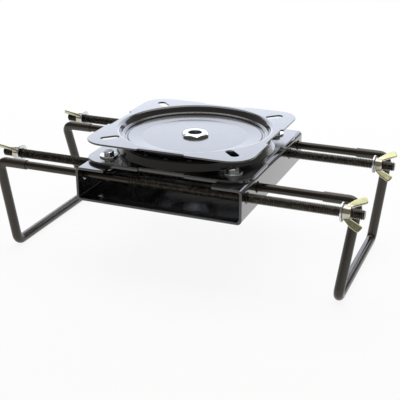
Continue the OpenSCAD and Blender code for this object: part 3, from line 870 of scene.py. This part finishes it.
sleeve_edge = [(sleeve_bore_r + 0.15, 0.0), (sleeve_r - 0.3, 0.0), (sleeve_r - 0.08, 0.12),
               (sleeve_r, 0.4)]
for side, turn in clamps.items():
    sleeve = bmesh.new()
    first, *between, last = clamp_stations(sleeve_end_x)
    rings = [tube_ring(sleeve, first, radius, shift) for radius, shift in sleeve_edge]
    rings += [tube_ring(sleeve, station, sleeve_r) for station in between]
    rings += [tube_ring(sleeve, last, radius, -shift) for radius, shift in reversed(sleeve_edge)]
    rings += [tube_ring(sleeve, station, sleeve_bore_r) for station in reversed(between)]
    skin(sleeve, rings, closed=True)
    bmesh.ops.rotate(sleeve, matrix=Matrix.Rotation(math.radians(turn), 3, "Z"), verts=sleeve.verts)
    finished_piece(side + "_vinyl_sleeve", sleeve, vinyl, "vinyl", side + "_clamp",
                   side + "_clamp_sleeve")

# ---- Rod washers and wing nuts ----
# A plain washer and a wing nut on each threaded tip draw the clamps in. The nuts are forged and
# zinc plated with a pale yellow passivate, which has rubbed off to bright metal along their edges.
rod_washer_x = 173.0
rod_washer_d = 18.0
rod_washer_bore = 10.4
nut_start_x = 174.65
nut_bore_r = 4.75
hub_r = 7.0
hub_top_r = 6.3
hub_height = 7.5
hub_edge = 0.4
hub_top_edge = 0.5
hub_sides = 64
wing_root = 1.25
wing_tip = 0.85
wing_root_r = 6.0
wing_taper = 10.0
wing_shape = [(0.3, 4.9), (0.9, 6.65), (7.92, 13.47), (16.5, 18.2), (20.0, 12.14), (7.2, 5.6),
              (7.2, 4.9)]
wing_bends = [0.2, 0.2, 6.0, 2.0, 1.5, 0.2, 0.2]
bare_hub_r = 7.2
bare_hub_fade = 1.5
bare_edge = 0.55
bare_edge_fade = 0.2
tips = {"front_right": (0, front_row, -49), "rear_right": (0, rear_row, -49),
        "front_left": (180, -rear_row, -50), "rear_left": (180, -front_row, -50)}

yellow_zinc, tree, shader = new_finish("pale yellow zinc", metallic=1.0)
bloom = effect(tree, ripple_group, {"Size mm": 4.0, "Softness": 0.6})
cheek = node(tree, "Attribute", {}, attribute_name="passivated").outputs["Fac"]
marks = effect(tree, mark_group, {"Length mm": 5.0, "Amount": 0.5})
tint = blend(tree, bloom, (0.36, 0.37, 0.22, 1), (0.50, 0.48, 0.29, 1))
tint = blend(tree, cheek, (0.54, 0.51, 0.42, 1), tint)
gloss = reckon(tree, "MULTIPLY_ADD", marks, 0.15, spread(tree, bloom, 0.10, 0.24))
wire_up(tree, shader, tint, gloss, bloom, strength=0.12, depth=0.3)


def within(value, start, run):
    """0 up to a start, 1 from a run further on, and even in between."""
    return min(1, max(0, (value - start) / run))


forging = bmesh.new()
lathed(forging, [(nut_bore_r, hub_edge), (nut_bore_r + hub_edge, 0.0), (hub_r - hub_edge, 0.0),
                 (hub_r, hub_edge), (hub_top_r, hub_height - hub_top_edge),
                 (hub_top_r - hub_top_edge, hub_height), (nut_bore_r + hub_edge, hub_height),
                 (nut_bore_r, hub_height - hub_edge)], hub_sides)
bmesh.ops.transform(forging, matrix=lay_down, verts=forging.verts)
for way in (-1, 1):
    cheeks = []
    for cheek_side in (-1, 1):
        ring = []
        for along, out, ix, iy in rounded_loop(wing_shape, wing_bends, spacing=1.5):
            half = wing_root + (wing_tip - wing_root) * within(out, wing_root_r, wing_taper)
            ring.append(forging.verts.new((along, cheek_side * half, way * out)))
        cheeks.append(ring)
    skin(forging, cheeks)
    for ring in cheeks:
        forging.faces.new(ring)
bmesh.ops.recalc_face_normals(forging, faces=forging.faces)
bmesh.ops.scale(forging, vec=(mm, mm, mm), verts=forging.verts)
raw_mesh = bpy.data.meshes.new("raw forging")
forging.to_mesh(raw_mesh)
forging.free()
raw = bpy.data.objects.new("raw forging", raw_mesh)
bpy.context.collection.objects.link(raw)
blend_in = raw.modifiers.new("one solid", "REMESH")
blend_in.mode = "VOXEL"
blend_in.voxel_size = 0.34 * mm
smooth_off = raw.modifiers.new("soft corners", "SMOOTH")
smooth_off.factor = 0.5
smooth_off.iterations = 6
evaluated = raw.evaluated_get(bpy.context.evaluated_depsgraph_get())
wing_nut = bpy.data.meshes.new_from_object(evaluated)
bpy.data.objects.remove(raw)
passivated = wing_nut.attributes.new("passivated", "FLOAT", "POINT")
for point, coloured in zip(wing_nut.vertices, passivated.data):
    across, out = abs(point.co.y) / mm, abs(point.co.z) / mm
    on_cheek = within(across, bare_edge, bare_edge_fade)
    coloured.value = within(out, bare_hub_r, bare_hub_fade) * on_cheek

for corner, (side_turn, y, turn) in tips.items():
    outwards = Matrix.Rotation(math.radians(side_turn), 4, "Z")
    facing = Matrix.Translation((0, y, rod_z)) @ outwards
    washer = flat_washer(rod_washer_d, rod_washer_bore, rod_washer_x)
    bmesh.ops.transform(washer, matrix=facing @ lay_down, verts=washer.verts)
    finished_piece(corner + "_rod_washer", washer, zinc, "zinc_plate", corner + "_washer",
                   "washer_" + corner)
    nut_mesh = bmesh.new()
    nut_mesh.from_mesh(wing_nut)
    bmesh.ops.scale(nut_mesh, vec=(1 / mm, 1 / mm, 1 / mm), verts=nut_mesh.verts)
    spin = Matrix.Translation((nut_start_x, 0, 0)) @ Matrix.Rotation(math.radians(turn), 4, "X")
    bmesh.ops.transform(nut_mesh, matrix=facing @ spin, verts=nut_mesh.verts)
    finished_piece(corner + "_forged_wing_nut", nut_mesh, yellow_zinc, "yellow_zinc",
                   corner + "_wing_nut", "wing_nut_" + corner, sharp=70)

# ---- Studio ----
# A pale floor that goes on into the white background, a wide soft light low behind the object that
# shows in the enamel, a wide soft light overhead, and a camera a little above the object.
floor_half = 8.0
floor_gap = 0.0002
floor_share = 0.9
lights_aim = (0, 0, 0.1)
floor_data = bpy.data.meshes.new("studio_floor")
floor_corners = [(-floor_half, -floor_half, 0), (floor_half, -floor_half, 0),
                 (floor_half, floor_half, 0), (-floor_half, floor_half, 0)]
floor_data.from_pydata(floor_corners, [], [(0, 1, 2, 3)])
studio_floor = bpy.data.objects.new("studio_floor", floor_data)
bpy.context.collection.objects.link(studio_floor)
studio_floor.location.z = cad_box[0][2] - floor_gap
pale, tree, shader = new_finish("pale floor", base_color=(0.93, 0.93, 0.93, 1), roughness=0.9)
shader["Specular IOR Level"].default_value = 0.1
seen = node(tree, "LightPath", {}).outputs
direct = reckon(tree, "MAXIMUM", seen["Is Camera Ray"], seen["Is Glossy Ray"])
direct = reckon(tree, "MAXIMUM", direct, seen["Is Transmission Ray"])
share = reckon(tree, "MULTIPLY", direct, floor_share)
glow = node(tree, "Emission", {"Color": (1, 1, 1, 1), "Strength": 1.0}).outputs[0]
paint = tree.nodes["Principled BSDF"].outputs[0]
both = node(tree, "MixShader", {"Fac": share, 1: paint, 2: glow}).outputs[0]
tree.links.new(both, tree.nodes["Material Output"].inputs["Surface"])
floor_data.materials.append(pale)

world = bpy.data.worlds.new("studio")
bpy.context.scene.world = world
world.use_nodes = True
tree = world.node_tree
seen = node(tree, "LightPath", {}).outputs["Is Camera Ray"]
level = blend(tree, seen, (0.22, 0.212, 0.20, 1), (1, 1, 1, 1))
tree.links.new(level, tree.nodes["Background"].inputs["Color"])


def soft_light(name, where, width, height, radiance, tint):
    """A rectangular soft light of an even radiance, turned to face the object."""
    lamp = bpy.data.lights.new(name, "AREA")
    lamp.shape = "RECTANGLE"
    lamp.size, lamp.size_y = width, height
    lamp.energy = radiance * math.pi * width * height
    lamp.color = tint
    light = bpy.data.objects.new(name, lamp)
    bpy.context.collection.objects.link(light)
    light.location = where
    towards = Vector(lights_aim) - Vector(where)
    light.rotation_euler = towards.to_track_quat("-Z", "Y").to_euler()


soft_light("back_softbox", (-0.45, 1.35, 0.62), 2.4, 1.0, 1.95, (0.81, 0.87, 1.0))
soft_light("top_softbox", (-0.1, 0.4, 1.75), 2.2, 1.7, 2.1, (1.0, 0.99, 0.97))

camera_place = (0.3323, -0.8010, 0.4009)
camera_tilt, camera_turn = 67.97, 22.2
view = bpy.data.cameras.new("product_view")
view.lens = 80.69
view.sensor_width = 36
camera = bpy.data.objects.new("product_view", view)
bpy.context.collection.objects.link(camera)
camera.location = camera_place
camera.rotation_euler = (math.radians(camera_tilt), 0, math.radians(camera_turn))
bpy.context.scene.camera = camera
bpy.context.scene.view_settings.view_transform = "Standard"
